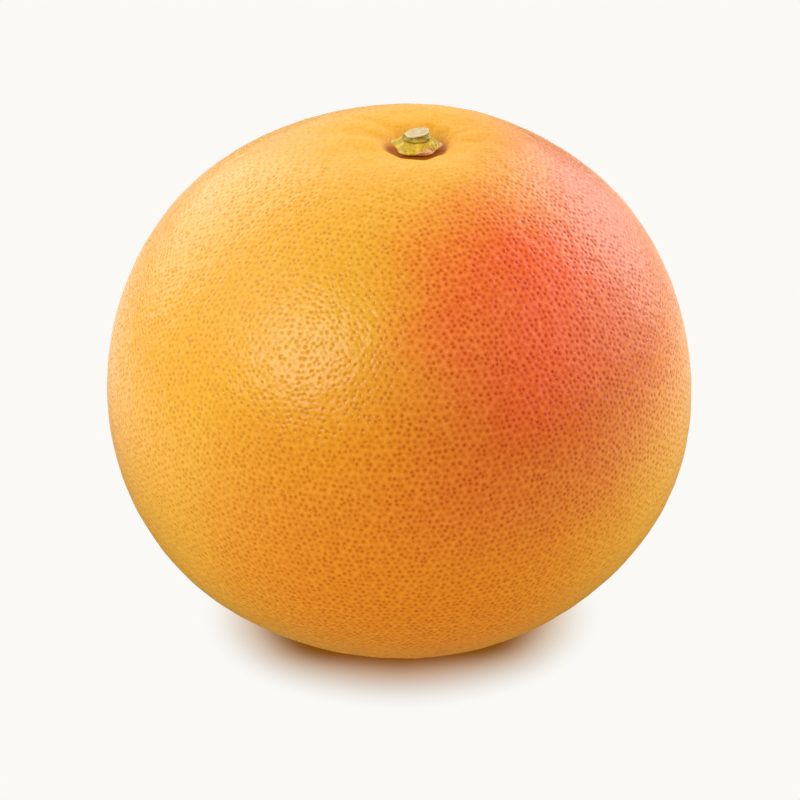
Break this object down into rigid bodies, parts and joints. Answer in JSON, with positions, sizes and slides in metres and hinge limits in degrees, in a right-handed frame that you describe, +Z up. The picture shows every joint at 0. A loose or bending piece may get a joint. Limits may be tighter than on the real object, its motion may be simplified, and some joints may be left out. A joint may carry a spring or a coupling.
{
  "type": "grapefruit",
  "caption": "Whole round grapefruit with a dimpled peel, standing on its blossom end, with the calyx and a cut stub of stem in the puckered hollow at its top.",
  "frame": {"origin": "middle of the small flat spot that the fruit rests on, on the supporting surface", "axes": "+Z up from the blossom end to the stem end, -Y the front as seen in the picture, +X to the right of that view"},
  "size_m": [0.1103, 0.1101, 0.1006],
  "materials": {
    "peel": "waxy, dimpled by oil glands, yellow-orange with a pink-red blush on one side",
    "calyx": "matt yellow-green, drying to pinkish brown at one lobe",
    "stem": "pale grey-green cut end on an olive-green swelling"
  },
  "bodies": {
    "root": {"fruit": "peel", "calyx": "calyx", "stem_stub": "stem"}
  },
  "joints": []
}
